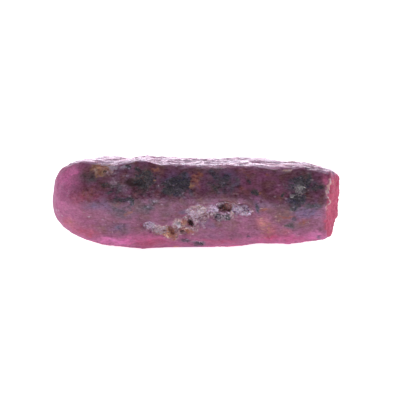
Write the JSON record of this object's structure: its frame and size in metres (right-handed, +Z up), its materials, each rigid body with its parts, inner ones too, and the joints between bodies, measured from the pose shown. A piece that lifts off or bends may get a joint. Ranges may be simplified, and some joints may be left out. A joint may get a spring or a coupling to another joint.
{
  "type": "pink sapphire crystal",
  "caption": "Rough six-sided crystal stick of translucent pink corundum with a worn round tip, a flat parting end, a broken hollow and open pits. It lies on a long face.",
  "frame": {"origin": "on the resting plane, below the middle of the crystal's box", "axes": "+X along the crystal's long axis, from the worn tip to the parting face; +Z up, away from the resting face; -Y towards the side with the broken hollow"},
  "size_m": [0.0324, 0.0108, 0.0101],
  "materials": {
    "pink_sapphire": "rough natural corundum, waxy to glassy, translucent pink to plum with dark mica flakes and rust stains"
  },
  "bodies": {
    "root": {"pink_sapphire_crystal": "pink_sapphire"}
  },
  "joints": []
}
